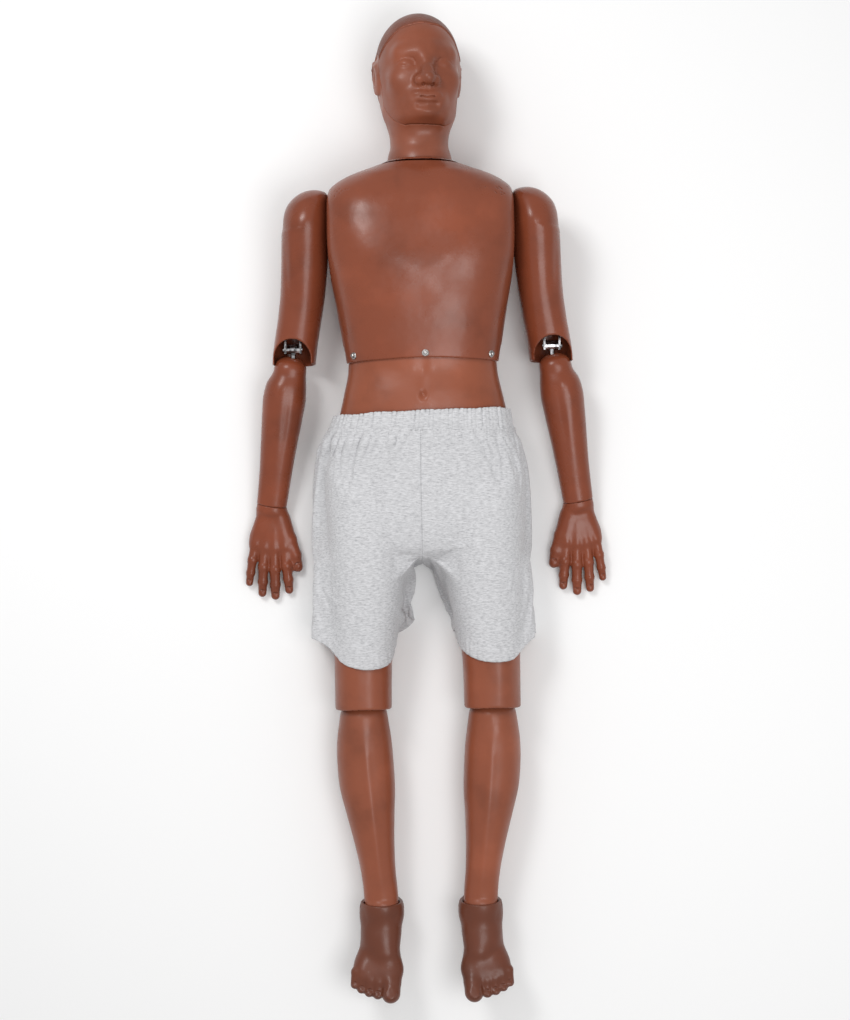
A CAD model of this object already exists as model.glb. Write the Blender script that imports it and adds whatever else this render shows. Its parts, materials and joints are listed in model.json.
import json
import math

import bmesh
import bpy
import numpy as np
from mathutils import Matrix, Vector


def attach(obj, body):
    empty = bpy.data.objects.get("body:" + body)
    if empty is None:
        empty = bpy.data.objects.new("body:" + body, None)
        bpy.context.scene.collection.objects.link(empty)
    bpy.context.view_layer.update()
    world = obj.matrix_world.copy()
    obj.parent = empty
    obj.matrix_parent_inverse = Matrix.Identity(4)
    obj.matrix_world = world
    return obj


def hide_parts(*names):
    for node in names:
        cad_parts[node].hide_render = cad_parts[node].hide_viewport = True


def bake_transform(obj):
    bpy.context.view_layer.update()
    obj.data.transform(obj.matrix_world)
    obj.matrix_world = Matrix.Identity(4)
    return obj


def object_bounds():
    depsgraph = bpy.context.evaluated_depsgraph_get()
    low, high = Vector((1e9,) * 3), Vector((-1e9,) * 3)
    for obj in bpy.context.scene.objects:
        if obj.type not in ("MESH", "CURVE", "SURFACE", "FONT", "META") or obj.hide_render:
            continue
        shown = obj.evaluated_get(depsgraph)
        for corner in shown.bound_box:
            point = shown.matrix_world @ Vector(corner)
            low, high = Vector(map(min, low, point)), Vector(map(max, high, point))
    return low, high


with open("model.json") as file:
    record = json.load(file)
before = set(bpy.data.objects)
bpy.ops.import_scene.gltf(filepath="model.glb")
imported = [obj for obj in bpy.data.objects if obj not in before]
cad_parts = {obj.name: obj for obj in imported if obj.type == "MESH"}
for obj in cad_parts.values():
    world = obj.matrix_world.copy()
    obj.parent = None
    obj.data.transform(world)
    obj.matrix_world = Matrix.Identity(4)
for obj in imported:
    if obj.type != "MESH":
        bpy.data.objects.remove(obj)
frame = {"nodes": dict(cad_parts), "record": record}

CAD_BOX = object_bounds()
SIDES = ((-1.0, "right"), (1.0, "left"))

# The driving numbers of the frame: y, half width, lowest z, highest z, squareness.
TRUNK = (
    (0.6100, 0.0640, 0.0420, 0.1690, 2.0),
    (0.6040, 0.0640, 0.0400, 0.1700, 2.0),
    (0.5960, 0.0840, 0.0330, 0.1750, 2.1),
    (0.5780, 0.1300, 0.0180, 0.1890, 2.4),
    (0.5620, 0.1530, 0.0080, 0.1990, 2.8),
    (0.5400, 0.1660, 0.0020, 0.2075, 3.2),
    (0.5000, 0.1680, 0.0000, 0.2140, 3.4),
    (0.4500, 0.1660, 0.0000, 0.2170, 3.2),
    (0.4000, 0.1570, 0.0010, 0.2160, 2.8),
    (0.3500, 0.1480, 0.0040, 0.2090, 2.6),
    (0.3000, 0.1400, 0.0090, 0.2000, 2.5),
    (0.2590, 0.1340, 0.0120, 0.1920, 2.4),
    (0.2500, 0.1330, 0.0125, 0.1900, 2.4),
)
WAIST = (
    (0.3350, 0.1360, 0.0140, 0.1950, 2.5),
    (0.2590, 0.1293, 0.0165, 0.1860, 2.4),
    (0.2400, 0.1305, 0.0150, 0.1845, 2.4),
    (0.2000, 0.1390, 0.0120, 0.1860, 2.4),
    (0.1500, 0.1500, 0.0090, 0.1840, 2.4),
    (0.1000, 0.1600, 0.0070, 0.1780, 2.5),
    (0.0500, 0.1660, 0.0060, 0.1720, 2.5),
    (0.0000, 0.1660, 0.0070, 0.1680, 2.5),
    (-0.0400, 0.1500, 0.0120, 0.1600, 2.4),
    (-0.0700, 0.1100, 0.0250, 0.1450, 2.2),
    (-0.0850, 0.0600, 0.0450, 0.1250, 2.0),
)
SKIN_EDGE_Z = 0.122
SKIN_LOW_Y = 0.259
SKIN_TOP_Y = 0.5972
TORSO_LOW_Y = 0.285
TORSO_TOP_Y = 0.6042
PELVIS_TOP_Y = 0.335
PELVIS_LOW_Y = -0.077
SHOULDER_FLAT = 0.16
NECK = np.array((0.0, 0.604, 0.105))
SHOULDER = np.array((0.2015, 0.5, 0.105))
ELBOW = np.array((0.2285, 0.288, 0.07))
WRIST = np.array((0.2755, 0.009, 0.024))
HIP = np.array((0.1012, 0.0, 0.088))
KNEE = np.array((0.114, -0.322, 0.062))
ANKLE = np.array((0.0875, -0.7, 0.063))
# Radii of the holes for the shoulder and hip bolts, the rod, the threaded eyes and the pins.
BOLT_HOLE = 0.0063
ROD_HOLE = 0.0062
EYE_HOLE = 0.0053
PIN_HOLE = 0.0042
# The recess that a thigh turns in: its radius about the hip, and how near the middle it reaches.
HIP_RECESS = 0.0786
HIP_RECESS_X = 0.0362

# Limb stations: y, centre x, centre z, half width, half depth.
UPPER_ARM = (
    (0.5300, 0.1995, 0.1065, 0.0405, 0.0540),
    (0.5000, 0.2005, 0.1050, 0.0415, 0.0590),
    (0.4700, 0.2022, 0.1010, 0.0412, 0.0565),
    (0.4300, 0.2045, 0.0940, 0.0405, 0.0505),
    (0.3800, 0.2090, 0.0850, 0.0393, 0.0450),
    (0.3350, 0.2160, 0.0780, 0.0385, 0.0420),
    (0.3050, 0.2215, 0.0730, 0.0385, 0.0405),
    (0.2800, 0.2255, 0.0690, 0.0385, 0.0400),
    (0.2560, 0.2280, 0.0655, 0.0382, 0.0396),
)
THIGH = (
    (0.0900, 0.1012, 0.0880, 0.0640, 0.0780),
    (0.0000, 0.1012, 0.0880, 0.0640, 0.0780),
    (-0.0500, 0.1020, 0.0860, 0.0635, 0.0770),
    (-0.1000, 0.1040, 0.0830, 0.0615, 0.0740),
    (-0.1600, 0.1070, 0.0780, 0.0585, 0.0690),
    (-0.2200, 0.1110, 0.0720, 0.0535, 0.0640),
    (-0.2700, 0.1132, 0.0675, 0.0508, 0.0605),
    (-0.3100, 0.1138, 0.0645, 0.0503, 0.0590),
    (-0.3600, 0.1142, 0.0620, 0.0497, 0.0570),
)
SHIN = (
    (-0.3400, 0.1140, 0.0620, 0.0390, 0.0400),
    (-0.3580, 0.1140, 0.0612, 0.0412, 0.0430),
    (-0.3750, 0.1142, 0.0600, 0.0440, 0.0460),
    (-0.4100, 0.1140, 0.0570, 0.0485, 0.0500),
    (-0.4500, 0.1125, 0.0560, 0.0500, 0.0510),
    (-0.4900, 0.1098, 0.0565, 0.0490, 0.0500),
    (-0.5400, 0.1045, 0.0585, 0.0420, 0.0450),
    (-0.5900, 0.0985, 0.0605, 0.0352, 0.0380),
    (-0.6400, 0.0925, 0.0620, 0.0308, 0.0310),
    (-0.6750, 0.0888, 0.0630, 0.0302, 0.0261),
    (-0.6900, 0.0880, 0.0630, 0.0302, 0.0257),
    (-0.7000, 0.0875, 0.0630, 0.0302, 0.0256),
)
# Forearm: distance from the elbow, sideways bulge, half width, half depth.
FOREARM = (
    (0.0100, 0.0000, 0.0225, 0.0225),
    (0.0220, 0.0000, 0.0250, 0.0240),
    (0.0340, 0.0000, 0.0268, 0.0258),
    (0.0480, 0.0004, 0.0298, 0.0282),
    (0.0640, 0.0028, 0.0348, 0.0324),
    (0.0850, 0.0032, 0.0376, 0.0345),
    (0.1200, 0.0030, 0.0362, 0.0335),
    (0.1700, 0.0022, 0.0325, 0.0300),
    (0.2200, 0.0010, 0.0292, 0.0262),
    (0.2600, 0.0003, 0.0276, 0.0232),
    (0.2900, 0.0000, 0.0266, 0.0218),
)


# ---------------------------------------------------------------- smooth solids
def curve(table, count=600):
    """A smooth curve through the table's rows, as a function of its first column."""
    rows = np.array(table, float)
    rows = rows[np.argsort(rows[:, 0])]
    t = rows[:, 0]
    slope = np.gradient(rows[:, 1:], t, axis=0)
    where = np.linspace(t[0], t[-1], count)
    k = np.clip(np.searchsorted(t, where) - 1, 0, len(t) - 2)
    gap = t[k + 1] - t[k]
    u = ((where - t[k]) / gap)[:, None]
    gap = gap[:, None]
    fine = (
        (2 * u**3 - 3 * u**2 + 1) * rows[k, 1:]
        + (u**3 - 2 * u**2 + u) * gap * slope[k]
        + (3 * u**2 - 2 * u**3) * rows[k + 1, 1:]
        + (u**3 - u**2) * gap * slope[k + 1]
    )

    def look_up(value):
        return [np.interp(value, where, fine[:, c]) for c in range(fine.shape[1])]

    return look_up


def smin(a, b, k):
    h = np.clip(0.5 + 0.5 * (b - a) / k, 0.0, 1.0)
    return b + (a - b) * h - k * h * (1.0 - h)


def smax(a, b, k):
    return -smin(-a, -b, k)


def ball(p, centre, half):
    q = (p - np.array(centre)) / np.array(half, float)
    far = np.linalg.norm(q, axis=1)
    return far * (far - 1.0) / np.maximum(np.linalg.norm(q / np.array(half, float), axis=1), 1e-9)


def bar(p, start, end, r0, r1=None):
    """A round bar whose radius goes from r0 to r1."""
    start = np.array(start, float)
    along = np.array(end, float) - start
    t = np.clip((p - start) @ along / (along @ along), 0.0, 1.0)
    r = r0 if r1 is None else r0 + (r1 - r0) * t
    return np.linalg.norm(p - start - t[:, None] * along, axis=1) - r


def chain(p, points, k=0.002):
    """Bars through the points, each of which is x, y, z and a radius, blended over k."""
    found = None
    for (*a, ra), (*b, rb) in zip(points, points[1:]):
        d = bar(p, a, b, ra, rb)
        found = d if found is None else smin(found, d, k)
    return found


def folded(p):
    """The points with everything brought to the left side, for what is the same on both."""
    return np.stack([np.abs(p[:, 0]), p[:, 1], p[:, 2]], axis=1)


def hump(p, centre, width):
    q = (p - np.array(centre)) / np.array(width, float)
    return np.exp(-np.einsum("ij,ij->i", q, q))


def squircle(x, z, half, low, high, power):
    middle = 0.5 * (low + high)
    deep = 0.5 * (high - low)
    g = ((np.abs(x) / half) ** power + (np.abs(z - middle) / deep) ** power) ** (1.0 / power)
    g = np.maximum(g, 1e-6)
    return np.hypot(x, z - middle) * (1.0 - 1.0 / g)


def limb(p, look_up, power=2.15):
    x, z, half, deep = look_up(p[:, 1])
    return squircle(p[:, 0] - x, p[:, 2], half, z - deep, z + deep, power)


def relaxed(points, faces):
    """Each point moved half way to the middle of its neighbours."""
    total = np.zeros_like(points)
    count = np.zeros(len(points))
    for k in range(4):
        a = faces[:, k]
        b = faces[:, (k + 1) % 4]
        for here, there in ((a, b), (b, a)):
            count += np.bincount(here, minlength=len(points))
            for c in range(3):
                total[:, c] += np.bincount(here, points[there, c], len(points))
    return 0.5 * points + 0.5 * total / np.maximum(count, 1.0)[:, None]


def surface(shape, low, high, step, polish=3):
    """Quads on the zero surface of a distance-like function, found only in blocks near it."""
    low = np.array(low, float) - 2.5 * step
    high = np.array(high, float) + 2.5 * step
    size = 8
    blocks = np.ceil((high - low) / step / size).astype(int)
    cells = blocks * size
    grid = np.stack(np.meshgrid(*[np.arange(b) for b in blocks], indexing="ij"), axis=-1).reshape(-1, 3)
    middle = low + (grid * size + 0.5 * (size - 1)) * step
    value = shape(middle)
    near = np.abs(value) < size * step * 1.6
    field = np.empty(cells, np.float32)
    field.reshape(blocks[0], size, blocks[1], size, blocks[2], size)[:] = np.sign(value).reshape(
        blocks[0], 1, blocks[1], 1, blocks[2], 1
    )
    inner = np.stack(np.meshgrid(*[np.arange(size)] * 3, indexing="ij"), axis=-1).reshape(-1, 3)
    index = (grid[near][:, None, :] * size + inner[None]).reshape(-1, 3)
    for part in np.array_split(index, max(1, len(index) // 400000)):
        field[part[:, 0], part[:, 1], part[:, 2]] = shape(low + part * step)
    inside = field < 0
    mixed = np.zeros(tuple(cells - 1), np.int8)
    for i in (0, 1):
        for j in (0, 1):
            for k in (0, 1):
                mixed += inside[i : cells[0] - 1 + i, j : cells[1] - 1 + j, k : cells[2] - 1 + k]
    cell = np.argwhere((mixed > 0) & (mixed < 8))
    number = np.full(tuple(cells - 1), -1, np.int64)
    number[cell[:, 0], cell[:, 1], cell[:, 2]] = np.arange(len(cell))
    total = np.zeros((len(cell), 3))
    hits = np.zeros(len(cell))
    corners = np.array([(i, j, k) for i in (0, 1) for j in (0, 1) for k in (0, 1)])
    for a in range(8):
        for b in range(a + 1, 8):
            if np.abs(corners[a] - corners[b]).sum() != 1:
                continue
            ca = cell + corners[a]
            cb = cell + corners[b]
            va = field[ca[:, 0], ca[:, 1], ca[:, 2]].astype(float)
            vb = field[cb[:, 0], cb[:, 1], cb[:, 2]].astype(float)
            cross = (va < 0) != (vb < 0)
            t = np.where(cross, va / np.where(cross, va - vb, 1.0), 0.0)
            total += np.where(cross[:, None], corners[a] + (corners[b] - corners[a]) * t[:, None], 0.0)
            hits += cross
    points = low + (cell + total / hits[:, None]) * step
    faces = []
    for axis in range(3):
        one = np.zeros(3, int)
        one[axis] = 1
        sl0 = tuple(slice(0, cells[k] - one[k]) for k in range(3))
        sl1 = tuple(slice(one[k], cells[k]) for k in range(3))
        a = inside[sl0]
        b = inside[sl1]
        edge = np.argwhere(a != b)
        others = [k for k in range(3) if k != axis]
        for k in others:
            edge = edge[(edge[:, k] > 0) & (edge[:, k] < cells[k] - 1)]
        u = np.zeros(3, int)
        v = np.zeros(3, int)
        u[others[0]] = 1
        v[others[1]] = 1
        ring = [edge - u - v, edge - v, edge, edge - u]
        quad = np.stack([number[r[:, 0], r[:, 1], r[:, 2]] for r in ring], axis=1)
        starts_inside = a[edge[:, 0], edge[:, 1], edge[:, 2]]
        flip = starts_inside if axis == 1 else ~starts_inside
        quad[flip] = quad[flip][:, ::-1]
        faces.append(quad[(quad >= 0).all(axis=1)])
    faces = np.concatenate(faces)
    for turn in range(polish):
        if turn == 1:
            points = relaxed(points, faces)
        d = shape(points)
        slope = np.empty_like(points)
        for k in range(3):
            shift = np.zeros(3)
            shift[k] = 0.15 * step
            slope[:, k] = (shape(points + shift) - shape(points - shift)) / (0.3 * step)
        move = -d[:, None] * slope / np.maximum(np.einsum("ij,ij->i", slope, slope), 0.05)[:, None]
        far = np.linalg.norm(move, axis=1, keepdims=True)
        points = points + move * np.minimum(1.0, 0.5 * step / np.maximum(far, 1e-12))
    return points, faces


def make_mesh(name, points, faces, materials, region=None):
    mesh = bpy.data.meshes.new(name)
    mesh.vertices.add(len(points))
    mesh.vertices.foreach_set("co", np.asarray(points, np.float32).ravel())
    mesh.loops.add(faces.size)
    mesh.loops.foreach_set("vertex_index", faces.astype(np.int32).ravel())
    mesh.polygons.add(len(faces))
    mesh.polygons.foreach_set("loop_start", np.arange(0, faces.size, faces.shape[1], dtype=np.int32))
    mesh.polygons.foreach_set("loop_total", np.full(len(faces), faces.shape[1], np.int32))
    mesh.polygons.foreach_set("use_smooth", np.ones(len(faces), bool))
    for mat in materials:
        mesh.materials.append(mat)
    if region is not None:
        middle = points[faces].mean(axis=1)
        mesh.polygons.foreach_set("material_index", region(middle).astype(np.int32))
    mesh.update(calc_edges=True)
    mesh.validate()
    obj = bpy.data.objects.new(name, mesh)
    bpy.context.scene.collection.objects.link(obj)
    return obj


def solid(node, body, shape, low, high, step, materials, slot="vinyl", region=None):
    """A moulded piece that takes the place of the frame's node and rides on the body."""
    points, faces = surface(shape, low, high, step)
    obj = make_mesh(node + "_moulded", points, faces, materials, region)
    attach(obj, body)
    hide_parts(node)


def limb_solid(name, word, side, shape, low, high, step, material):
    """The same for one side's limb: shape and box are given for the left side, and side mirrors them."""
    x = sorted((side * low[0], side * high[0]))
    node = name + "_" + word
    box = (x[0], *low[1:]), (x[1], *high[1:])
    solid(node, node, lambda p: shape(p * (side, 1.0, 1.0)), *box, step, [material])


# ---------------------------------------------------------------- materials
class Paint:
    """A material under construction: nodes that lead into its one surface shader."""

    def __init__(self, name):
        self.material = bpy.data.materials.new(name)
        self.material.use_nodes = True
        self.tree = self.material.node_tree
        self.coords = self.tree.nodes.new("ShaderNodeTexCoord").outputs["Object"]

    def feed(self, node, **inputs):
        """Sets the node's inputs to numbers, or joins them to other nodes' outputs."""
        for name, value in inputs.items():
            socket = node.inputs[name.replace("_", " ")]
            if isinstance(value, bpy.types.NodeSocket):
                self.tree.links.new(value, socket)
            else:
                socket.default_value = value

    def add(self, kind, output, **inputs):
        node = self.tree.nodes.new("ShaderNode" + kind)
        self.feed(node, **inputs)
        return node.outputs[output]

    def noise(self, scale, detail, rough=0.55, place=None):
        place = place or self.coords
        return self.add("TexNoise", "Fac", Vector=place, Scale=scale, Detail=detail, Roughness=rough)

    def stretched_noise(self, stretch, scale, detail, rough=0.5):
        place = self.add("Mapping", "Vector", Vector=self.coords, Scale=stretch)
        return self.noise(scale, detail, rough, place)

    def tones(self, source, *stops):
        """Colours that run from one stop to the next as the source rises."""
        node = self.tree.nodes.new("ShaderNodeValToRGB")
        self.feed(node, Fac=source)
        while len(node.color_ramp.elements) < len(stops):
            node.color_ramp.elements.new(0.5)
        for element, (place, colour) in zip(node.color_ramp.elements, stops):
            element.position = place
            element.color = (*colour, 1.0)
        node.color_ramp.interpolation = "EASE"
        return node.outputs["Color"]

    def spread(self, source, start, end, low, high):
        """The source's range from start to end, spread over low to high."""
        limits = {"From_Min": start, "From_Max": end, "To_Min": low, "To_Max": high}
        return self.add("MapRange", "Result", Value=source, **limits)

    def bump(self, height, strength, distance, **under):
        return self.add("Bump", "Normal", Height=height, Strength=strength, Distance=distance, **under)

    def done(self, **inputs):
        self.feed(self.tree.nodes["Principled BSDF"], **inputs)
        return self.material


def shade(colour, factor):
    return tuple(c * factor for c in colour)


def vinyl(name, tint, rough=0.36, grain=0.08, curls=0.0, lumps=0.14):
    """Moulded brown vinyl: cloudy colour, fine grain and soft dents under a satin skin."""
    paint = Paint(name)
    cloud = paint.noise(9.0, 4.0)
    patch = paint.noise(22.0, 3.0)
    normal = paint.bump(paint.noise(420.0, 2.0), grain, 0.0012)
    normal = paint.bump(paint.noise(24.0, 2.0), lumps, 0.004, Normal=normal)
    if curls:
        cells = paint.add("TexVoronoi", "Distance", Vector=paint.coords, Scale=230.0)
        normal = paint.bump(cells, curls, 0.0016, Normal=normal)
    return paint.done(
        Base_Color=paint.tones(cloud, (0.3, shade(tint, 0.8)), (0.52, tint), (0.72, shade(tint, 1.17))),
        Roughness=paint.spread(patch, 0.3, 0.7, rough - 0.07, rough + 0.09),
        Normal=normal,
        Specular_IOR_Level=0.32,
        Coat_Weight=0.08,
        Coat_Roughness=0.14,
    )


def metal(name, colour, rough, tarnish):
    """Bare or plated steel, mottled with tarnish and finely scratched."""
    paint = Paint(name)
    mottle = paint.noise(130.0, 4.0)
    return paint.done(
        Base_Color=paint.tones(mottle, (0.38, shade(colour, tarnish)), (0.6, colour)),
        Roughness=paint.spread(mottle, 0.35, 0.7, rough, rough + 0.13),
        Normal=paint.bump(paint.noise(700.0, 2.0), 0.05, 0.0006),
        Metallic=1.0,
    )


def plain(name, colour, rough, scale, dark=0.85, relief=0.1, stretch=(1.0, 1.0, 1.0)):
    """A matt material with an even grain, which stretch can draw out into fibres."""
    paint = Paint(name)
    grain = paint.stretched_noise(stretch, scale, 4.0)
    return paint.done(
        Base_Color=paint.tones(grain, (0.35, shade(colour, dark)), (0.65, colour)),
        Roughness=rough,
        Normal=paint.bump(grain, relief, 0.001),
    )


def jersey(name):
    """Heather grey jersey: pale loops with darker flecks that run round the body."""
    paint = Paint(name)
    fleck = paint.stretched_noise((130.0, 520.0, 200.0), 1.0, 3.0, 0.7)
    yarn = paint.stretched_noise((900.0, 640.0, 900.0), 1.0, 2.0)
    dark = (0.375, 0.375, 0.39)
    middle = (0.52, 0.52, 0.532)
    pale = (0.62, 0.62, 0.635)
    return paint.done(
        Base_Color=paint.tones(fleck, (0.3, dark), (0.47, middle), (0.62, pale)),
        Roughness=0.9,
        Normal=paint.bump(yarn, 0.35, 0.0009),
        Specular_IOR_Level=0.15,
        Sheen_Weight=0.25,
        Sheen_Roughness=0.5,
    )


CHEST = vinyl("vinyl_chest", (0.212, 0.054, 0.025), 0.3, lumps=0.26)
BELLY = vinyl("vinyl_belly", (0.262, 0.072, 0.034), 0.36, lumps=0.2)
ARM = vinyl("vinyl_arm", (0.2, 0.048, 0.021), 0.28)
LEG = vinyl("vinyl_leg", (0.25, 0.07, 0.034), 0.36)
FOOT_SKIN = vinyl("vinyl_foot", (0.128, 0.036, 0.018), 0.36, 0.14)
FACE_SKIN = vinyl("vinyl_face", (0.226, 0.061, 0.029), 0.42, 0.12)
NECK_SKIN = vinyl("vinyl_neck", (0.25, 0.073, 0.038), 0.36)
HAIR = vinyl("vinyl_hair", (0.165, 0.042, 0.02), 0.5, 0.2, 0.45)
CHROME = metal("chromed_steel", (0.66, 0.66, 0.68), 0.12, 0.22)
STEEL = metal("zinc_steel", (0.5, 0.49, 0.48), 0.3, 0.72)
PLASTIC = plain("white_plastic", (0.72, 0.71, 0.69), 0.45, 160.0, 0.94, 0.05)
BOARD = plain("birch_board", (0.56, 0.4, 0.24), 0.6, 90.0, 0.7, 0.2, (1.0, 1.0, 9.0))
JERSEY = jersey("heather_jersey")


# ---------------------------------------------------------------- trunk
trunk_at = curve(TRUNK)
waist_at = curve(WAIST)


def chest_relief(p):
    """How far the muscles of the chest stand out of the plain trunk."""
    front = np.clip((p[:, 2] - 0.11) / 0.05, 0.0, 1.0)
    m = folded(p)
    q = m[:, 0]
    rise = 0.004 * hump(m, (0.085, 0.455, 0.2), (0.06, 0.06, 0.2))
    rise += 0.002 * hump(m, (0.115, 0.505, 0.19), (0.045, 0.055, 0.2))
    rise -= 0.001 * hump(m, (0.06, 0.392, 0.21), (0.08, 0.022, 0.2))
    rise += 0.0012 * hump(m, (0.052, 0.355, 0.21), (0.045, 0.026, 0.2))
    rise += 0.0011 * hump(p, (0.062, 0.3, 0.2), (0.04, 0.026, 0.2))
    rise += 0.0011 * hump(p, (-0.066, 0.322, 0.2), (0.034, 0.024, 0.2))
    slope = 0.585 - 0.1 * np.sqrt(q * q + 0.0004)
    along = np.clip((q - 0.012) / 0.03, 0, 1) * np.clip((0.13 - q) / 0.05, 0, 1)
    rise += 0.002 * np.exp(-(((p[:, 1] - slope) / 0.01) ** 2)) * along
    rise -= 0.0016 * hump(m, (0.06, 0.556, 0.2), (0.045, 0.016, 0.2))
    rise -= 0.0022 * hump(m, (0.0, 0.59, 0.19), (0.016, 0.014, 0.1))
    return rise * front


def trunk(p):
    d = squircle(p[:, 0], p[:, 2], *trunk_at(p[:, 1]))
    d = smax(d, np.abs(p[:, 0]) - SHOULDER_FLAT, 0.006)
    return d - chest_relief(p)


def waist(p):
    d = squircle(p[:, 0], p[:, 2], *waist_at(p[:, 1]))
    front = np.clip((p[:, 2] - 0.12) / 0.03, 0, 1)
    navel = hump(p, (0.0, 0.1965, 0.19), (0.0055, 0.0065, 0.03))
    rim = hump(p, (0.0, 0.1965, 0.19), (0.012, 0.012, 0.03))
    line = hump(p, (0.0, 0.225, 0.19), (0.01, 0.035, 0.05))
    side = hump(np.abs(p), (0.11, 0.22, 0.16), (0.02, 0.05, 0.05))
    return d - front * (0.002 * rim - 0.006 * navel - 0.0018 * line - 0.0015 * side)


def steepness(y):
    """How many times faster than distance the trunk's measure grows where it narrows to the neck."""
    change = (trunk_at(y + 0.001)[0] - trunk_at(y - 0.001)[0]) / 0.002
    return np.sqrt(1.0 + change * change)


def chest_shape(p):
    x, y, z = p.T
    steep = steepness(y)
    d = trunk(p)
    d = smax(d, -(d + 0.004 * steep), 0.0008)
    lower = SKIN_LOW_Y + 0.0016 * np.cos(x * 24.0) - 0.0016
    d = smax(d, lower - y, 0.0016)
    d = smax(d, y - SKIN_TOP_Y, 0.0012)
    return smax(d, SKIN_EDGE_Z + 0.0004 - z, 0.0012)


def torso_shape(p):
    x, y, z = p.T
    steep = steepness(y)
    d = trunk(p)
    cover = np.where(z > SKIN_EDGE_Z - 0.0006, 0.005 * steep, 0.0)
    cover = np.where(y > 0.5975, 0.0, cover)
    shell = smax(d + cover, -(d + 0.0095 * steep), 0.0008)
    hole = np.hypot(x, z - NECK[2]) - 0.058
    shell = np.where(y > 0.59, smax(d + cover, -hole, 0.0015), shell)
    shell = smax(shell, TORSO_LOW_Y - y, 0.0012)
    shell = smax(shell, y - TORSO_TOP_Y, 0.0018)
    for side, _ in SIDES:
        bolt = np.hypot(y - SHOULDER[1], z - SHOULDER[2]) - BOLT_HOLE
        shell = np.where(x * side > 0.12, np.maximum(shell, -bolt), shell)
    return shell


def pelvis_shape(p):
    x, y, z = p.T
    form = waist(p)
    d = smax(form, y - PELVIS_TOP_Y, 0.0015)
    d = smax(d, PELVIS_LOW_Y - y, 0.01)
    from_rod = np.hypot(y, z - HIP[2])
    in_front = np.maximum(y - HIP_RECESS, HIP[2] - z)
    recess = np.minimum(np.minimum(from_rod - HIP_RECESS, y), in_front)
    recess = smax(recess, HIP_RECESS_X - np.abs(x), 0.002)
    d = smax(d, -recess, 0.0025)
    hollow = np.maximum(form + 0.006, 0.14 - y)
    d = smax(d, -hollow, 0.001)
    return np.maximum(d, -(from_rod - ROD_HOLE))


def build_trunk():
    for node, shape, low, high, step, material in (
        ("chest_skin", chest_shape, (-0.165, 0.255, 0.115), (0.165, 0.60, 0.225), 0.0021, CHEST),
        ("torso_shell", torso_shape, (-0.165, 0.282, -0.002), (0.165, 0.607, 0.218), 0.0028, CHEST),
        ("pelvis_shell", pelvis_shape, (-0.170, -0.09, 0.002), (0.170, 0.338, 0.20), 0.0026, BELLY),
    ):
        solid(node, "trunk", shape, low, high, step, [material])


# ---------------------------------------------------------------- head
# y, half width, lowest z, highest z, squareness of the head and neck below the temples.
HEAD = curve((
    (0.5600, 0.0500, 0.0560, 0.1545, 2.0),
    (0.6100, 0.0508, 0.0545, 0.1555, 2.0),
    (0.6300, 0.0506, 0.0530, 0.1562, 2.0),
    (0.6480, 0.0512, 0.0500, 0.1600, 2.0),
    (0.6600, 0.0535, 0.0450, 0.1700, 2.1),
    (0.6720, 0.0572, 0.0380, 0.1850, 2.15),
    (0.6860, 0.0612, 0.0290, 0.1905, 2.15),
    (0.7050, 0.0650, 0.0150, 0.1915, 2.15),
    (0.7300, 0.0682, 0.0050, 0.1920, 2.15),
    (0.7580, 0.0700, 0.0010, 0.1920, 2.1),
    (0.7880, 0.0700, 0.0010, 0.1910, 2.1),
    (0.8200, 0.0700, 0.0010, 0.1910, 2.1),
))
HAIR_LINE = curve((
    (-0.010, 0.6750), (0.005, 0.6850), (0.030, 0.7000), (0.055, 0.7220), (0.080, 0.7560), (0.098, 0.7900),
    (0.108, 0.7930), (0.118, 0.7830), (0.130, 0.7970), (0.150, 0.8150), (0.170, 0.8300), (0.190, 0.8400),
    (0.215, 0.8440),
))
HEAD_TURN = math.radians(-10.0)


def hair_side(p):
    """Positive over the moulded hair, negative over bare skin."""
    x, y, z = p.T
    wave = 0.001 * np.sin(x * 190.0) + 0.0008 * np.sin(z * 260.0)
    temple = 0.14 * np.clip(np.abs(x) - 0.04, 0, 1) * (z > 0.12)
    return y - HAIR_LINE(z)[0] + temple + wave


def head_base(p):
    q = folded(p)
    d = squircle(q[:, 0], q[:, 2], *HEAD(q[:, 1]))
    d = smax(d, q[:, 1] - 0.79, 0.03)
    d = smin(d, ball(q, (0.0, 0.783, 0.0965), (0.07, 0.08, 0.0955)), 0.016)
    d = smin(d, ball(q, (0.0, 0.68, 0.17), (0.023, 0.0155, 0.022)), 0.012)
    d = smin(d, bar(q, (0.047, 0.69, 0.108), (0.025, 0.676, 0.162), 0.013, 0.011), 0.014)
    d = smax(d, -ball(q, (0.0, 0.648, 0.186), (0.048, 0.013, 0.024)), 0.01)
    return d


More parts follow.
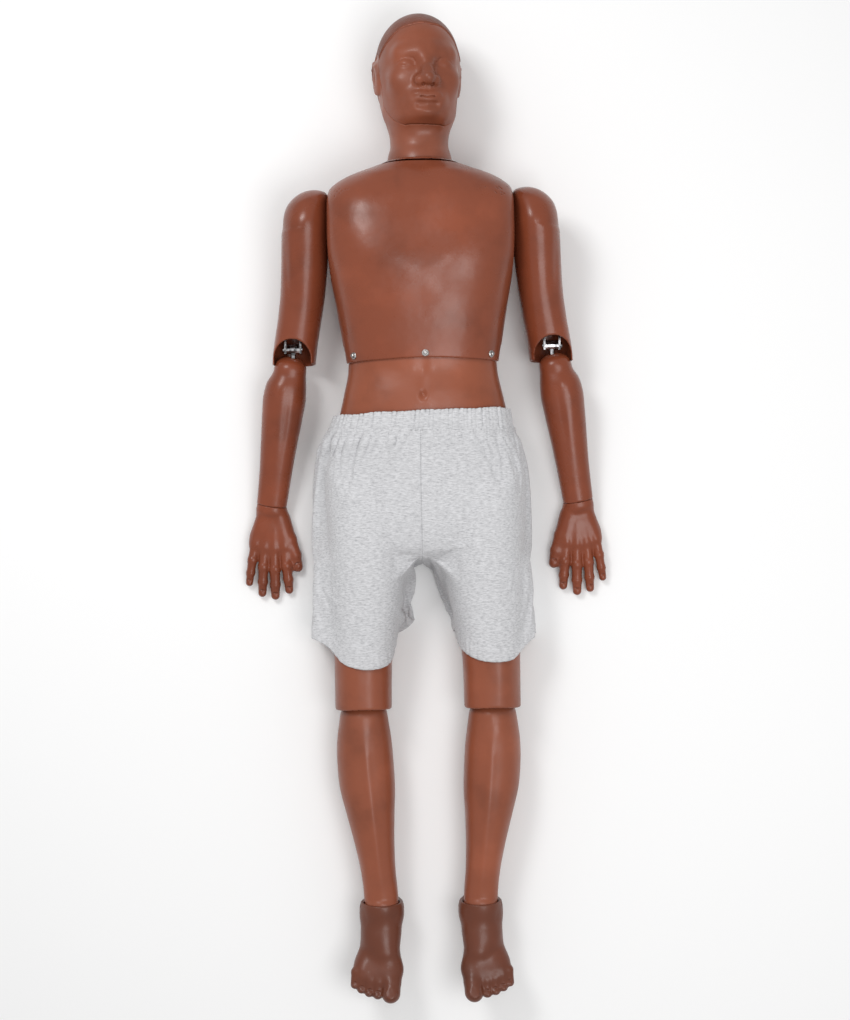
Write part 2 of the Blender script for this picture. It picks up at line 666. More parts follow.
def face_features(p, d):
    q = folded(p)
    # Sockets under the brow, cheeks, and the temples' shallow hollows.
    d = smax(d, -ball(q, (0.031, 0.761, 0.202), (0.02, 0.0125, 0.0185)), 0.012)
    d = smin(d, bar(q, (0.01, 0.779, 0.18), (0.04, 0.779, 0.166), 0.011, 0.0095), 0.016)
    d = smin(d, ball(q, (0.039, 0.735, 0.162), (0.02, 0.019, 0.018)), 0.02)
    # Closed lids: a round swell, the lash line low on it, a crease above.
    d = smin(d, ball(q, (0.031, 0.7585, 0.171), (0.0165, 0.0122, 0.0155)), 0.0035)
    lash = (
        (0.0165, 0.7560, 0.1835, 0.0005), (0.0220, 0.7545, 0.1870, 0.0008), (0.0300, 0.7540, 0.1880, 0.0009),
        (0.0390, 0.7548, 0.1850, 0.0008), (0.0465, 0.7570, 0.1790, 0.0005),
    )
    d = smax(d, -chain(q, lash), 0.0012)
    crease = (
        (0.0170, 0.7600, 0.1860, 0.0004), (0.0230, 0.7665, 0.1880, 0.0006), (0.0310, 0.7690, 0.1880, 0.0007),
        (0.0400, 0.7665, 0.1830, 0.0006), (0.0475, 0.7605, 0.1760, 0.0004),
    )
    d = smax(d, -chain(q, crease), 0.0022)
    # Nose: a broad bridge that widens to a round tip between two wings.
    ridge = (
        (0.0, 0.7800, 0.1810, 0.0085), (0.0, 0.7600, 0.1905, 0.0082),
        (0.0, 0.7430, 0.1985, 0.0090), (0.0, 0.7310, 0.2045, 0.0108),
    )
    d = smin(d, chain(p, ridge, 0.006), 0.011)
    d = smin(d, ball(q, (0.0138, 0.7275, 0.195), (0.0086, 0.0088, 0.0092)), 0.0085)
    d = smin(d, bar(p, (0.0, 0.7265, 0.204), (0.0, 0.719, 0.195), 0.0046, 0.0034), 0.007)
    d = smax(d, -ball(q, (0.0076, 0.7195, 0.2), (0.0036, 0.0032, 0.0058)), 0.002)
    # Mouth: full lips, a little apart.
    d = smin(d, ball(q, (0.0, 0.7, 0.1775), (0.03, 0.02, 0.0165)), 0.014)
    d = smin(d, ball(q, (0.005, 0.7048, 0.1895), (0.0185, 0.0056, 0.0078)), 0.005)
    d = smin(d, ball(q, (0.0, 0.695, 0.1895), (0.0195, 0.0066, 0.0084)), 0.005)
    gap = (
        (0.0000, 0.6998, 0.1980, 0.0011), (0.0110, 0.7002, 0.1958, 0.0010),
        (0.0180, 0.6999, 0.1917, 0.0008), (0.0230, 0.6994, 0.1872, 0.0006),
    )
    d = smax(d, -chain(q, gap), 0.0022)
    d = smax(d, -bar(p, (0.0, 0.712, 0.2012), (0.0, 0.7165, 0.2008), 0.003), 0.0045)
    d = smax(d, -bar(q, (0.0, 0.6856, 0.199), (0.015, 0.6868, 0.1948), 0.0042), 0.0095)
    return d


def ears(p):
    q = folded(p)
    lean = (q[:, 0] - 0.068) * 0.9
    q[:, 2] = q[:, 2] + lean - 0.004
    bowl = ball(q, (0.07, 0.753, 0.0985), (0.008, 0.03, 0.0175))
    rim = (
        (0.0710, 0.7400, 0.1120, 0.0026), (0.0725, 0.7560, 0.1140, 0.0028), (0.0745, 0.7720, 0.1080, 0.0030),
        (0.0755, 0.7800, 0.0960, 0.0030), (0.0755, 0.7720, 0.0850, 0.0029), (0.0745, 0.7560, 0.0830, 0.0028),
        (0.0725, 0.7400, 0.0880, 0.0028), (0.0710, 0.7290, 0.0960, 0.0040),
    )
    inner = (
        (0.0735, 0.769, 0.098, 0.002), (0.074, 0.756, 0.0905, 0.0021), (0.073, 0.743, 0.093, 0.002)
    )
    d = smax(bowl, -ball(q, (0.079, 0.756, 0.099), (0.0072, 0.018, 0.0105)), 0.002)
    d = smin(d, chain(q, rim, 0.002), 0.003)
    return smin(d, chain(q, inner, 0.002), 0.0025)


def turned_head(p):
    """The head rests turned a little toward its left; points come back to its own straight frame."""
    share = np.clip((p[:, 1] - 0.612) / 0.04, 0.0, 1.0)
    a = HEAD_TURN * share * share * (3 - 2 * share)
    c = np.cos(a)
    s = np.sin(a)
    x = p[:, 0]
    z = p[:, 2] - NECK[2]
    return np.stack([c * x + s * z, p[:, 1], c * z - s * x + NECK[2]], axis=1)


def head_shape(q):
    d = head_base(q)
    hair = hair_side(q)
    thick = np.clip(hair / 0.005 + 0.4, 0.0, 1.0)
    thick = thick * thick * (3 - 2 * thick)
    d = d - 0.0019 * thick
    near = (q[:, 2] > 0.14) & (q[:, 1] > 0.66) & (q[:, 1] < 0.81)
    if near.any():
        d[near] = face_features(q[near], d[near])
    return smin(d, ears(q), 0.0045)


def face_border(q):
    """Negative over the clip-on face piece."""
    edge = 0.1205 - 0.1 * np.clip(q[:, 1] - 0.76, 0, 0.1) + 0.9 * np.clip(0.7 - q[:, 1], 0, 0.1)
    d = np.maximum(edge - q[:, 2], hair_side(q) + 0.0015)
    return np.maximum(d, 0.66 - q[:, 1])


def skull_shape(p):
    x, y, z = p.T
    q = turned_head(p)
    d = smax(head_shape(q), -face_border(q) + 0.0003, 0.0014)
    swivel = np.linalg.norm(p - NECK, axis=1) - 0.0564
    d = np.where(y < NECK[1] + 0.006, swivel, smin(d, swivel, 0.003))
    d = smax(d, 0.5723 - y, 0.0015)
    hollow = np.maximum(np.hypot(x, z - 0.105) - 0.0405, y - 0.655)
    return smax(d, -hollow, 0.001)


def face_shape(p):
    q = turned_head(p)
    d = smax(head_shape(q) - 0.0004, face_border(q) + 0.0003, 0.0014)
    return smax(d, 0.105 - q[:, 2], 0.001)


def build_head():
    solid(
        "head_shell", "head", skull_shape, (-0.088, 0.57, -0.004), (0.088, 0.872, 0.205), 0.0018,
        [NECK_SKIN, HAIR], "hair_vinyl", lambda middle: hair_side(turned_head(middle)) > 0.0005,
    )
    box = (-0.078, 0.65, 0.095), (0.078, 0.846, 0.224)
    solid("face_skin", "head", face_shape, *box, 0.00115, [FACE_SKIN])


# ---------------------------------------------------------------- arms
upper_arm_at = curve(UPPER_ARM)
forearm_at = curve(FOREARM)
thigh_at = curve(THIGH)
shin_at = curve(SHIN)


def unit(v):
    v = np.array(v, float)
    return v / np.linalg.norm(v)


ARM_AXIS = unit(WRIST - ELBOW)
ARM_ACROSS = unit(np.cross(ARM_AXIS, (0.0, 0.0, 1.0))) * -1.0
ARM_ACROSS = ARM_ACROSS * (1.0 if ARM_ACROSS[0] > 0 else -1.0)
ARM_UP = unit(np.cross(ARM_ACROSS, ARM_AXIS))
ARM_UP = ARM_UP * (1.0 if ARM_UP[2] > 0 else -1.0)
WRIST_CUT = ELBOW + ARM_AXIS * 0.2825


def upper_arm_shape(q):
    d = limb(q, upper_arm_at)
    upper = q.copy()
    upper[:, 1] = np.maximum(upper[:, 1], 0.489)
    crown = ball(upper, (0.185, 0.489, 0.1055), (0.06, 0.0715, 0.066))
    d = smax(d, crown - np.clip(0.489 - q[:, 1], 0.0, 0.1), 0.01)
    d = d - 0.0022 * hump(q, (0.205, 0.395, 0.13), (0.022, 0.045, 0.03))
    d = d + 0.0016 * hump(q, (0.233, 0.42, 0.13), (0.006, 0.05, 0.04))
    d = smax(d, SHOULDER_FLAT + 0.0004 - q[:, 0], 0.002)
    d = smax(d, 0.26 - q[:, 1], 0.0022)
    x, z, half, deep = upper_arm_at(q[:, 1])
    inner = squircle(q[:, 0] - x, q[:, 2], half - 0.0035, z - deep + 0.0035, z + deep - 0.0035, 2.15)
    inner = smax(inner, q[:, 1] - 0.3345, 0.003)
    d = smax(d, -inner, 0.0012)
    arch = np.hypot(q[:, 0] - (ELBOW[0] + 0.0005), q[:, 1] - 0.269) - 0.0326
    arch = smax(arch, 0.074 - q[:, 2], 0.004)
    d = smax(d, -arch, 0.003)
    bolt = np.hypot(q[:, 1] - SHOULDER[1], q[:, 2] - SHOULDER[2])
    pocket = smax(bolt - 0.015, SHOULDER[0] + 0.016 - q[:, 0], 0.001)
    d = smax(d, -pocket, 0.0014)
    return np.maximum(d, -(bolt - BOLT_HOLE))


def forearm_shape(p):
    q = p - ELBOW
    s = q @ ARM_AXIS
    u = q @ ARM_ACROSS
    v = q @ ARM_UP
    bulge, half, deep = forearm_at(s)
    d = squircle(u - bulge, v, half, -deep, deep, 2.1)
    d = smax(d, 0.0215 - s, 0.016)
    local = np.stack([u, s, v], axis=1)
    d = smin(d, ball(local, (0.0, 0.035, 0.0), (0.027, 0.021, 0.0262)), 0.006)
    d = d - 0.0016 * hump(local, (0.016, 0.09, 0.028), (0.014, 0.045, 0.02))
    d = d + 0.0014 * hump(local, (-0.006, 0.13, 0.034), (0.006, 0.06, 0.02))
    d = smax(d, s - 0.2824, 0.0014)
    bore = np.maximum(np.hypot(q[:, 0], q[:, 2]) - EYE_HOLE, -(q[:, 1] + 0.0625))
    d = np.maximum(d, -np.maximum(bore, q[:, 1]))
    return np.maximum(d, -np.maximum(np.hypot(u, v) - EYE_HOLE, 0.252 - s))


FINGERS = (
    ((0.2535, -0.0620), (0.2505, -0.0960), (0.2480, -0.1210), (0.2470, -0.1400), 0.0092),
    ((0.2715, -0.0640), (0.2715, -0.1020), (0.2715, -0.1300), (0.2720, -0.1500), 0.0096),
    ((0.2890, -0.0620), (0.2920, -0.0980), (0.2940, -0.1250), (0.2955, -0.1450), 0.0091),
    ((0.3055, -0.0560), (0.3115, -0.0850), (0.3155, -0.1080), (0.3185, -0.1260), 0.0081),
)
THUMB = ((0.259, -0.015), (0.244, -0.049), (0.235, -0.077), (0.2305, -0.099), 0.0108)


def nailed(d, p, x, y, bed, plate):
    """A finger, thumb or toe with its nail; bed and plate are each a height and three half sizes."""
    d = smax(d, -ball(p, (x, y, bed[0]), bed[1:]), 0.0007)
    return smin(d, ball(p, (x, y, plate[0]), plate[1:]), 0.0005)


def hand_shape(q):
    start = WRIST_CUT + ARM_AXIS * 0.0004
    s = (q - start) @ ARM_AXIS
    u = (q - start) @ ARM_ACROSS
    v = (q - start) @ ARM_UP
    cuff = squircle(u, v, 0.0262 + 0 * u, -0.0212 + 0 * u, 0.0212 + 0 * u, 2.1)
    cuff = smax(cuff, s - 0.016, 0.01)
    d = cuff
    d = smin(d, ball(q, (0.2745, -0.02, 0.019), (0.031, 0.033, 0.0165)), 0.014)
    d = smin(d, ball(q, (0.279, -0.048, 0.016), (0.0375, 0.038, 0.015)), 0.012)
    for k, (a, b, c, e, r) in enumerate(FINGERS):
        back = (0.274 + (k - 1.5) * 0.0095, -0.008, 0.023)
        knuckle = (a[0], a[1], 0.0205)
        d = smin(d, bar(q, back, knuckle, 0.01, 0.0105), 0.0075)
        points = ((*a, 0.019, r * 1.1), (*b, 0.0195, r), (*c, 0.015, r * 0.9), (*e, 0.01, r * 0.8))
        finger = chain(q, points, 0.003)
        for joint, wide in ((b, 1.0), (c, 0.9)):
            crease = np.abs(q[:, 1] - joint[1])
            finger = finger - 0.0006 * np.exp(-((crease / 0.0055) ** 2)) * wide
            finger = finger + 0.0005 * np.exp(-((crease / 0.0009) ** 2)) * (q[:, 2] > 0.017)
        bed = (0.0172, r * 0.62, 0.0068, 0.003)
        plate = (0.0148, r * 0.56, 0.0064, 0.0026)
        finger = nailed(finger, q, e[0], e[1] + 0.001, bed, plate)
        d = smin(d, finger, 0.0042)
    a, b, c, e, r = THUMB
    points = ((*a, 0.019, 0.0135), (*b, 0.018, r * 1.12), (*c, 0.016, r), (*e, 0.0125, r * 0.82))
    thumb = chain(q, points, 0.004)
    bed = (0.0212, 0.006, 0.0078, 0.0032)
    plate = (0.0188, 0.0056, 0.0074, 0.0028)
    thumb = nailed(thumb, q, e[0], e[1] + 0.002, bed, plate)
    d = smin(d, thumb, 0.009)
    d = smin(d, ball(q, (0.256, -0.035, 0.015), (0.012, 0.026, 0.012)), 0.012)
    for k in range(4):
        a = FINGERS[k][0]
        d = d - 0.0012 * hump(q, (a[0], a[1] + 0.002, 0.028), (0.006, 0.007, 0.01))
    d = smax(d, 0.0008 - q[:, 2], 0.004)
    d = smax(d, -s, 0.0012)
    return np.maximum(d, -np.maximum(np.hypot(u, v) - EYE_HOLE, s - 0.0265))


def build_arm(side, word):
    for name, shape, low, high, step in (
        ("upper_arm", upper_arm_shape, (0.155, 0.255, 0.02), (0.272, 0.565, 0.172), 0.0021),
        ("forearm", forearm_shape, (0.195, 0.002, -0.004), (0.31, 0.285, 0.105), 0.0021),
        ("hand", hand_shape, (0.215, -0.165, -0.002), (0.336, 0.022, 0.056), 0.00125),
    ):
        limb_solid(name, word, side, shape, low, high, step, ARM)


# ---------------------------------------------------------------- legs
def thigh_form(q):
    """A thigh with its rounded top and no holes."""
    top = np.hypot(np.maximum(q[:, 1], 0.0), q[:, 2] - HIP[2]) - 0.0776
    return smax(limb(q, thigh_at, 2.25), top, 0.004)


def thigh_shape(q):
    d = smax(thigh_form(q), 0.0366 - q[:, 0], 0.002)
    d = d - 0.0018 * hump(q, (0.13, -0.295, 0.115), (0.016, 0.04, 0.03))
    d = smax(d, -0.347 + 0.0035 * np.cos((q[:, 0] - 0.114) * 28.0) - 0.0035 - q[:, 1], 0.003)
    x, z, half, deep = thigh_at(q[:, 1])
    inner = squircle(q[:, 0] - x, q[:, 2], half - 0.0042, z - deep + 0.0042, z + deep - 0.0042, 2.25)
    inner = smax(inner, q[:, 1] + 0.278, 0.004)
    d = smax(d, -inner, 0.0014)
    arch = np.hypot(q[:, 0] - KNEE[0], q[:, 1] + 0.343) - 0.045
    arch = smax(arch, q[:, 2] - 0.05, 0.004)
    d = smax(d, -arch, 0.003)
    bolt = np.hypot(q[:, 1], q[:, 2] - HIP[2])
    pocket = np.maximum(bolt - 0.017, 0.138 - q[:, 0])
    d = smax(d, -pocket, 0.0014)
    return np.maximum(d, -(bolt - BOLT_HOLE))


def shin_shape(q):
    x, y, z = q.T
    d = limb(q, shin_at, 2.05)
    d = smax(d, y + 0.3395, 0.022)
    d = smin(d, ball(q, (0.114, -0.366, 0.062), (0.0385, 0.027, 0.04)), 0.006)
    d = d - 0.002 * hump(q, (0.114, -0.385, 0.106), (0.016, 0.02, 0.02))
    shin_line = np.interp(y, (-0.68, -0.6, -0.45, -0.39), (0.086, 0.094, 0.108, 0.112))
    crest = np.exp(-(((x - shin_line) / 0.008) ** 2)) * np.clip((z - 0.07) / 0.03, 0, 1)
    crest *= np.clip((-0.39 - y) / 0.04, 0, 1) * np.clip((y + 0.695) / 0.04, 0, 1)
    d = d - 0.0022 * crest
    d = smax(d, -0.6925 - y, 0.0025)
    d = smin(d, np.linalg.norm(q - ANKLE, axis=1) - 0.0303, 0.001)
    from_bolt = np.hypot(x - KNEE[0], z - KNEE[2])
    bore = np.maximum(from_bolt - EYE_HOLE, -(y - KNEE[1] + 0.0755))
    d = np.maximum(d, -bore)
    return np.maximum(d, -(np.hypot(y - ANKLE[1], z - ANKLE[2]) - PIN_HOLE))


PITCH = math.radians(30.0)
FOOT_AHEAD = np.array((0.0, -math.cos(PITCH), math.sin(PITCH)))
FOOT_OVER = np.array((0.0, math.sin(PITCH), math.cos(PITCH)))
TOES = (
    (-0.0255, 0.1470, 0.0165),
    (-0.0025, 0.1450, 0.0094),
    (0.0125, 0.1410, 0.0090),
    (0.0265, 0.1350, 0.0086),
    (0.0385, 0.1270, 0.0082),
)
SPLAY = 0.05


def foot_shape(q):
    a = q - ANKLE
    s = a @ FOOT_AHEAD
    v = a @ FOOT_OVER
    m = np.stack([a[:, 0] - SPLAY * np.clip(s, 0.0, 0.2), s, v], axis=1)
    d = ball(m, (0.0, -0.014, -0.028), (0.031, 0.035, 0.0265))
    d = smin(d, bar(m, (0.0, -0.006, -0.008), (-0.01, 0.075, -0.025), 0.032, 0.025), 0.016)
    d = smin(d, bar(m, (0.006, 0.01, -0.03), (0.026, 0.105, -0.035), 0.025, 0.0155), 0.018)
    d = smin(d, ball(m, (0.0, 0.034, -0.018), (0.0335, 0.048, 0.027)), 0.012)
    d = smin(d, ball(m, (-0.021, 0.106, -0.032), (0.021, 0.027, 0.016)), 0.014)
    d = smin(d, ball(m, (0.002, 0.105, -0.031), (0.036, 0.03, 0.014)), 0.014)
    d = smin(d, ball(m, (0.027, 0.096, -0.036), (0.017, 0.026, 0.0125)), 0.012)
    d = smax(d, -ball(m, (-0.033, 0.05, -0.056), (0.017, 0.036, 0.011)), 0.01)
    for k, (x, reach, r) in enumerate(TOES):
        root = (x * 0.85 + 0.003, 0.108, -0.034)
        knuckle = (x + 0.003, reach - 0.019, -0.03 - (0.002 if k == 0 else 0.0))
        tip = (x + 0.003, reach, -0.0515 + 0.004 + r)
        points = ((*root, r * 0.95), (*knuckle, r * (1.0 if k == 0 else 0.92)), (*tip, r * 0.98))
        toe = chain(m, points, 0.003)
        bed = (tip[2] + r * 1.04, r * 0.66, r * 0.7, 0.0022)
        plate = (tip[2] + r * 0.82, r * 0.6, r * 0.64, 0.0018)
        toe = nailed(toe, m, x + 0.003, reach + 0.003, bed, plate)
        d = smin(d, toe, 0.005)
    collar = np.linalg.norm(a, axis=1) - 0.035
    collar = smax(collar, a[:, 1] - 0.0065, 0.0026)
    d = smin(d, collar, 0.016)
    d = smin(d, ball(a, (-0.026, -0.012, 0.002), (0.01, 0.018, 0.015)), 0.012)
    d = smin(d, ball(a, (0.026, -0.016, -0.004), (0.01, 0.018, 0.015)), 0.012)
    d = smax(d, -0.0527 - v, 0.006)
    inner = np.linalg.norm(a, axis=1) - 0.0315
    inner = np.where(a[:, 1] > 0.0, np.hypot(a[:, 0], a[:, 2]) - 0.0315, inner)
    d = smax(d, -inner, 0.0012)
    d = smax(d, a[:, 1] - 0.007, 0.0015)
    return np.maximum(d, -(np.hypot(a[:, 1], a[:, 2]) - PIN_HOLE))


def build_leg(side, word):
    for name, shape, low, high, step, material in (
        ("thigh", thigh_shape, (0.034, -0.354, 0.0), (0.168, 0.08, 0.17), 0.0026, LEG),
        ("shin", shin_shape, (0.052, -0.733, 0.0), (0.168, -0.335, 0.112), 0.0022, LEG),
        ("foot", foot_shape, (0.036, -0.868, -0.002), (0.142, -0.665, 0.128), 0.0015, FOOT_SKIN),
    ):
        limb_solid(name, word, side, shape, low, high, step, material)


# ---------------------------------------------------------------- shorts
# y, half width, lowest z, highest z, squareness of the trunk of the shorts.
SHORTS_TRUNK = curve((
    (0.1700, 0.1515, 0.0070, 0.1905, 2.45),
    (0.1380, 0.1610, 0.0050, 0.1910, 2.5),
    (0.1150, 0.1745, 0.0035, 0.1905, 2.7),
    (0.0800, 0.1855, 0.0025, 0.1880, 2.9),
    (0.0400, 0.1890, 0.0022, 0.1850, 3.0),
    (0.0000, 0.1900, 0.0022, 0.1820, 3.0),
    (-0.0400, 0.1895, 0.0022, 0.1790, 3.0),
    (-0.0900, 0.1893, 0.0022, 0.1745, 3.0),
))
# y, inner edge x, outer edge x, lowest z, highest z of a leg of the shorts.
SHORTS_LEG = curve((
    (-0.0780, 0.0030, 0.1895, 0.0022, 0.1745),
    (-0.1200, 0.0210, 0.1905, 0.0022, 0.1715),
    (-0.1600, 0.0320, 0.1915, 0.0022, 0.1670),
    (-0.2000, 0.0430, 0.1925, 0.0022, 0.1635),
    (-0.2450, 0.0530, 0.1945, 0.0022, 0.1600),
    (-0.2900, 0.0570, 0.1965, 0.0022, 0.1570),
))
# The hem's y by its place round the leg, from 0 at the inseam over the front to 1: it hangs
# lowest over the front of the thigh and rises toward both sides.
HEM = {
    "right": curve((
        (0.00, -0.1840), (0.08, -0.2160), (0.15, -0.2570), (0.24, -0.2680), (0.30, -0.2630), (0.34, -0.2540),
        (0.39, -0.2320), (0.44, -0.2190), (0.50, -0.2150), (0.66, -0.2300), (0.88, -0.2180), (1.00, -0.1840),
    )),
    "left": curve((
        (0.00, -0.2200), (0.08, -0.2320), (0.15, -0.2460), (0.24, -0.2560), (0.30, -0.2560), (0.35, -0.2510),
        (0.39, -0.2370), (0.44, -0.2220), (0.50, -0.2170), (0.66, -0.2320), (0.88, -0.2300), (1.00, -0.2200),
    )),
}
LEG_FOOT_Y = -0.268
RIGHT_INNER_EDGE = 0.0185
SHORTS_SHIFT = -0.0055
SHORTS_TOP = 0.144
CROTCH_Y = -0.079
SADDLE = 0.01
LEG_GIRTH = 0.56
BAND_GIRTH = 0.86
BAND_LOW_Y = 0.1355
BAND_HIGH_Y = 0.169
BAND_THICKNESS = 0.0022
CLOTH_THICKNESS = 0.0011
SETTLE_FRAMES = 34
# What each point of the cloth knows: its place round the body, and its distances from the
# nearest seam, from the top and from the hem.
FACTS = ("along", "seam", "drop", "hem")
# Points round a leg, points of each half of the crotch between the legs, and rows.
LOOP = 160
WALL = 23
TRUNK_ROWS = 40
LEG_ROWS = 33


def even(points, count):
    """The same line through count points spaced evenly along it."""
    gap = np.linalg.norm(np.diff(points, axis=0), axis=1)
    place = np.concatenate(([0.0], np.cumsum(gap)))
    where = np.linspace(0.0, place[-1], count)
    return np.stack([np.interp(where, place, points[:, c]) for c in range(points.shape[1])], axis=1)


def oval_line(cx, cz, half, deep, power, start, end, count):
    a = np.linspace(start, end, 500)
    c = np.cos(a)
    s = np.sin(a)
    x = cx + half * np.sign(c) * np.abs(c) ** (2.0 / power)
    z = cz + deep * np.sign(s) * np.abs(s) ** (2.0 / power)
    return even(np.stack([x, z], axis=1), count)


def trunk_rows():
    """Open rows from the middle of the front round to the middle of the back, down to the crotch."""
    count = LOOP - 2 * WALL + 1
    rows = []
    facts = []
    for i in range(TRUNK_ROWS + 1):
        y = SHORTS_TOP + (CROTCH_Y - SHORTS_TOP) * (i / TRUNK_ROWS)
        half, low, high, power = [float(v) for v in SHORTS_TRUNK(y)]
        deep = 0.5 * (high - low)
        line = oval_line(0.0, 0.5 * (low + high), half, deep, power, math.pi / 2, -math.pi / 2, count)
        line[0, 0] = 0.0
        line[-1, 0] = 0.0
        u = np.concatenate(([0.0], np.cumsum(np.linalg.norm(np.diff(line, axis=0), axis=1))))
        rows.append(np.stack([line[:, 0], np.full(count, y), line[:, 1]], axis=1))
        columns = [u, np.minimum(u, u[-1] - u), np.full(count, SHORTS_TOP - y), np.full(count, 1.0)]
        facts.append(np.stack(columns, axis=1))
    return rows, facts


def leg_rows(crotch, word):
    """Closed loops from the crotch down to the hem; each starts and ends at the inseam."""
    inner = np.linspace(0.5, 0.0, WALL + 1)[:-1]

    def inseam(near, far):
        z = near[2] + (far[2] - near[2]) * inner
        return np.stack([np.zeros(WALL), CROTCH_Y + SADDLE * np.sin(inner * math.pi), z], axis=1)

    first = inseam(crotch[0], crotch[-1])
    last = inseam(crotch[-1], crotch[0])[::-1]
    loop = np.concatenate([first, crotch, last])[:LOOP]
    column = np.arange(LOOP)
    turn = column / LOOP
    from_inseam = np.minimum(turn, 1 - turn)
    hem = HEM[word](turn)[0]
    opening = 0.18 + 0.16 * np.clip((from_inseam - 0.1) / 0.1, 0, 1)
    ease = np.clip(from_inseam * LOOP / WALL, 0, 1) * math.pi / 2 + math.pi / 2
    lift = np.where((column >= WALL) & (column <= LOOP - WALL), 0.0, SADDLE * np.sin(ease))
    rows = []
    facts = []
    for i in range(LEG_ROWS + 1):
        t = i / LEG_ROWS
        w = np.minimum(1.0, t / opening)
        w = w * w * (3 - 2 * w)
        y = CROTCH_Y + (hem - CROTCH_Y) * t
        edge, outer, low, high = [float(v) for v in SHORTS_LEG(CROTCH_Y + (LEG_FOOT_Y - CROTCH_Y) * t)]
        if word == "right":
            edge = min(edge, RIGHT_INNER_EDGE)
        line = oval_line(
            0.5 * (edge + outer), 0.5 * (low + high), 0.5 * (outer - edge), 0.5 * (high - low),
            2.9, math.pi, -math.pi, LOOP + 1,
        )[:LOOP]
        x = loop[:, 0] * (1 - w) + line[:, 0] * w
        z = loop[:, 2] * (1 - w) + line[:, 1] * w
        rows.append(np.stack([x, y + lift * (1 - w), z], axis=1) if i else loop)
        facts.append(np.stack([turn * LEG_GIRTH, np.full(LOOP, 1.0), SHORTS_TOP - y, y - hem], axis=1))
    return rows, facts


def shorts_mesh():
    """Both halves sewn together along the middle and through the crotch."""
    wide = LOOP - 2 * WALL
    points = []
    facts = []
    faces = []
    halves = []
    for side, word in SIDES:
        rows, row_facts = trunk_rows()
        legs, leg_facts = leg_rows(rows[-1], word)
        start = sum(len(p) for p in points)
        points += [row * (side, 1.0, 1.0) for row in rows[:-1] + legs]
        facts += row_facts[:-1] + leg_facts
        leg_start = start + TRUNK_ROWS * (wide + 1)
        found = []
        for i in range(TRUNK_ROWS):
            for j in range(wide):
                a = start + i * (wide + 1) + j
                below = a + wide + 1 if i < TRUNK_ROWS - 1 else leg_start + WALL + j
                found.append((a, a + 1, below + 1, below))
        for i in range(LEG_ROWS):
            for j in range(LOOP):
                a = leg_start + i * LOOP + j
                b = leg_start + i * LOOP + (j + 1) % LOOP
                found.append((a, b, b + LOOP, a + LOOP))
        found = np.array(found)
        faces.append(found if side > 0 else found[:, ::-1])
        halves.append(np.full(len(found), 0 if side < 0 else 1))
    points = np.concatenate(points)
    _, first, index = np.unique(np.round(points, 5), axis=0, return_index=True, return_inverse=True)
    points = points[first]
    points[:, 0] += SHORTS_SHIFT
    faces = index.reshape(-1)[np.concatenate(faces)]
    return points, np.concatenate(facts)[first], faces, np.concatenate(halves)


def body_form():
    """A plain copy of the hips and thighs that the cloth falls on."""

    def shape(p):
        d = smax(waist(p), -0.078 - p[:, 1], 0.01)
        for side, _ in SIDES:
            d = smin(d, thigh_form(p * (side, 1.0, 1.0)), 0.006)
        return d - 0.001

    points, faces = surface(shape, (-0.18, -0.345, 0.0), (0.18, 0.24, 0.2), 0.0065)
    return make_mesh("fit_form", points, faces, [])


def blocker(obj, gap, grip):
    """Makes the object something that cloth lies on."""
    obj.modifiers.new("collision", "COLLISION")
    obj.collision.thickness_outer = gap
    obj.collision.cloth_friction = grip
    return obj


def settle(cloth, pins):
    """Lets the sewn cloth fall onto the body and the floor."""
    form = blocker(body_form(), 0.0015, 12.0)
    corners = np.array([(-0.5, -0.6, 0.0002), (0.5, -0.6, 0.0002), (0.5, 0.5, 0.0002), (-0.5, 0.5, 0.0002)])
    ground = blocker(make_mesh("fit_floor", corners, np.array([(0, 1, 2, 3)]), []), 0.001, 20.0)
    group = cloth.vertex_groups.new(name="pinned")
    for k, weight in enumerate(pins):
        if weight > 0:
            group.add([k], float(weight), "REPLACE")
    fall = cloth.modifiers.new("fall", "CLOTH")
    for name, value in (
        ("quality", 6),
        ("mass", 0.25),
        ("tension_stiffness", 18),
        ("compression_stiffness", 14),
        ("shear_stiffness", 6),
        ("bending_stiffness", 5.0),
        ("air_damping", 2.0),
        ("vertex_group_mass", "pinned"),
        ("shrink_min", -0.025),
    ):
        setattr(fall.settings, name, value)
    fall.collision_settings.distance_min = 0.0016
    fall.collision_settings.collision_quality = 3
    fall.collision_settings.use_self_collision = False
    scene = bpy.context.scene
    scene.frame_start = fall.point_cache.frame_start = 1
    scene.frame_end = fall.point_cache.frame_end = SETTLE_FRAMES
    for frame_number in range(1, SETTLE_FRAMES + 1):
        scene.frame_set(frame_number)
    graph = bpy.context.evaluated_depsgraph_get()
    settled = read_points(cloth.evaluated_get(graph).to_mesh())
    cloth.evaluated_get(graph).to_mesh_clear()
    cloth.modifiers.clear()
    write_points(cloth.data, settled)
    scene.frame_set(1)
    bpy.data.objects.remove(form)
    bpy.data.objects.remove(ground)


def waves(u, lengths, shifts):
    total = np.zeros_like(u)
    for length, shift in zip(lengths, shifts):
        total += np.sin(u * 2 * math.pi / length + shift)
    return total / len(lengths)


def puffs(u, lengths, shifts):
    """Rounded swells with sharp valleys between them, as where cloth is gathered."""
    total = np.zeros_like(u)
    for length, shift in zip(lengths, shifts):
        total += np.abs(np.sin(u * math.pi / length + shift)) ** 0.85
    return total / len(lengths) - 0.1


def flatten(obj):
    """Turns an object's modifiers into plain geometry."""
    graph = bpy.context.evaluated_depsgraph_get()
    mesh = bpy.data.meshes.new_from_object(obj.evaluated_get(graph))
    obj.modifiers.clear()
    obj.data = mesh


